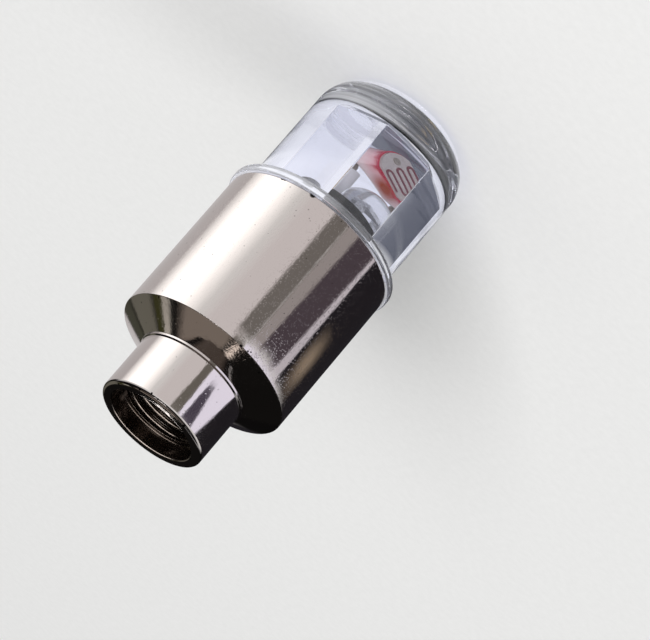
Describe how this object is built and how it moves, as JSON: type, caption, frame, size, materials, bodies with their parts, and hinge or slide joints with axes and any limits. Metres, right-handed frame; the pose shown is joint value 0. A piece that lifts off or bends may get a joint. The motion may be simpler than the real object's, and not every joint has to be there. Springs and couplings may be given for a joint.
{
  "type": "tyre valve cap",
  "caption": "Lighted tyre valve cap: plated barrel with a conical shoulder and a threaded neck, and a clear rounded head that unscrews to change its cells.",
  "frame": {"origin": "middle of the clear head's flat end, on the cap's axis; the cap stands on its head", "axes": "+Z along the axis from the head to the neck's open mouth; -Y out of the cavity flat behind which the photocell shows; +X to complete a right-handed set"},
  "size_m": [0.0166, 0.0166, 0.036],
  "materials": {
    "nickel": "polished nickel plate, faint orange peel",
    "clear_acrylic": "clear, polished",
    "black_plastic": "moulded, satin",
    "board": "lacquered glass-fibre board",
    "chip_black": "moulded chip",
    "clear_epoxy": "clear cast epoxy",
    "tinned_wire": "tinned",
    "chip_yellow": "bare die",
    "sensor_ceramic": "sintered, metallised",
    "sensor_resin": "cast resin",
    "sensor_track": "sintered film",
    "white_sleeve": "extruded",
    "switch_can": "drawn, plain",
    "contact_brass": "stamped",
    "cell_steel": "nickel-plated",
    "spring_steel": "plated wire"
  },
  "bodies": {
    "lens": {"lens": "clear_acrylic", "carrier": "black_plastic", "circuit_board": "board", "controller": "chip_black", "led_resistor": "chip_black", "sensor_resistor": "chip_black", "led_body": "clear_epoxy", "led_anode": "tinned_wire", "led_cathode": "tinned_wire", "led_chip": "chip_yellow", "photocell_plate": "sensor_ceramic", "photocell_coat": "sensor_resin", "photocell_track": "sensor_track", "photocell_wire_left": "tinned_wire", "photocell_wire_right": "tinned_wire", "wire_sleeve": "white_sleeve", "shake_switch": "switch_can", "cell_contact": "contact_brass", "earth_strip": "contact_brass", "cell_1": "cell_steel", "cell_2": "cell_steel", "cell_3": "cell_steel", "cell_sleeve": "white_sleeve"},
    "spring": {"contact_spring": "spring_steel"},
    "barrel": {"barrel": "nickel"}
  },
  "joints": [
    {"name": "barrel_rise", "type": "slide", "parent": "lens", "child": "spring", "axis": [0, 0, 1], "range_m": [0, 0.003], "deforming": ["contact_spring"]},
    {"name": "barrel_unscrew", "type": "hinge", "parent": "spring", "child": "barrel", "pos_m": [0, 0, 0.0144], "axis": [0, 0, 1], "range_deg": [0, 1080]}
  ],
  "couplings": [
    {"joint": "barrel_rise", "follows": "barrel_unscrew", "m_per_rad": 0.00015915}
  ]
}
